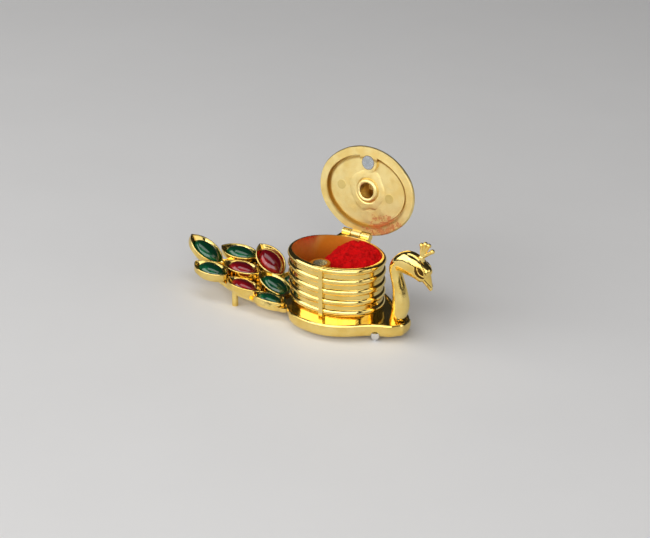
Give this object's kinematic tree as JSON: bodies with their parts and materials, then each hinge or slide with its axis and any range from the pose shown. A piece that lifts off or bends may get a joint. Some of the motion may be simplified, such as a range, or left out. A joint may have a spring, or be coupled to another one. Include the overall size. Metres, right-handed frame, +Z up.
{
  "type": "kumkum box",
  "caption": "Peacock-shaped kumkum box: ribbed oval cup with a hinged magnetic lid on a boat-shaped tray, curved neck and crested head, tail of leaf bezels with green and red stones",
  "frame": {"origin": "middle of the bounding box's footprint, on the table, with the lid standing open", "axes": "+X to the peacock's head, +Y to the lid hinge, +Z up"},
  "size_m": [0.1078, 0.048, 0.0603],
  "materials": {
    "gold": "polished gold plate",
    "gold_cup": "polished gold plate",
    "gold_lid": "gold plate, cast texture inside",
    "gold_tail": "polished gold plate",
    "magnet": "nickel plated",
    "nickel": "nickel plated",
    "steel": "plain",
    "green_glass": "polished, dark backed",
    "ruby_glass": "polished, dark backed",
    "kumkum": "loose powder"
  },
  "bodies": {
    "base": {"base_tray": "gold", "cup": "gold_cup", "cup_magnet": "magnet", "cup_screw": "steel", "kumkum_powder": "kumkum", "hinge_pin": "gold", "neck_and_head": "gold", "neck_screw": "steel", "crest": "gold", "tail_frame": "gold_tail", "tail_legs": "gold", "front_feet": "nickel", "leaf_stone_root_mid": "green_glass", "leaf_stone_root_near": "green_glass", "leaf_stone_root_far": "green_glass", "leaf_stone_middle_mid": "ruby_glass", "leaf_stone_middle_near": "ruby_glass", "leaf_stone_middle_far": "ruby_glass", "leaf_stone_tip_mid": "green_glass", "leaf_stone_tip_near": "green_glass", "leaf_stone_tip_far": "green_glass"},
    "lid": {"lid": "gold_lid", "lid_knob": "gold_lid", "lid_magnet": "magnet"}
  },
  "joints": [
    {"name": "lid_hinge", "type": "hinge", "parent": "base", "child": "lid", "pos_m": [0.01078, 0.01168, 0.027], "axis": [1, 0, 0], "range_deg": [0, 97]}
  ]
}
